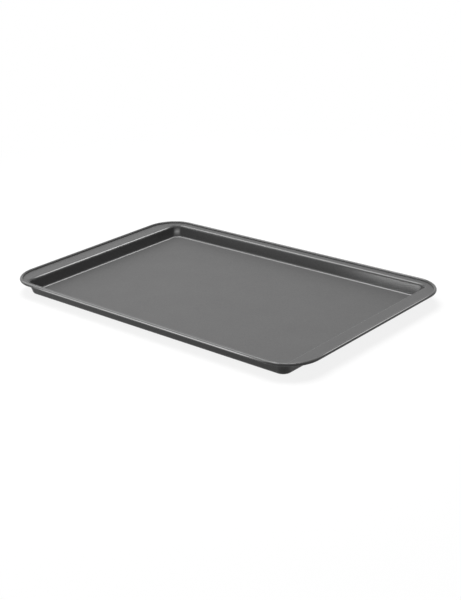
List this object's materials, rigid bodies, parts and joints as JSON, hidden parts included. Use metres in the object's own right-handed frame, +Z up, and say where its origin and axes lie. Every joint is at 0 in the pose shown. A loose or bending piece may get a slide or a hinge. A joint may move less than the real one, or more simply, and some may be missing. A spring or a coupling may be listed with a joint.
{
  "type": "cookie sheet",
  "caption": "Shallow non-stick cookie sheet: a pressed steel pan with sloping walls, wide flat end flanges to grip and a rim rolled round a stiffening wire.",
  "frame": {"origin": "middle of the flat base, on the surface that the pan stands on", "axes": "+X along the long side, from one end flange to the other; +Y across the pan, towards the side where the rim wire's ends meet; +Z up, out of the open top"},
  "size_m": [0.432, 0.28, 0.0186],
  "materials": {
    "non_stick_steel": "dark grey satin non-stick coating with a fine metallic fleck, baked on both faces of carbon steel sheet",
    "plain_steel_wire": "bare drawn steel wire"
  },
  "bodies": {
    "root": {"pan_body": "non_stick_steel", "rim_wire": "plain_steel_wire"}
  },
  "joints": []
}
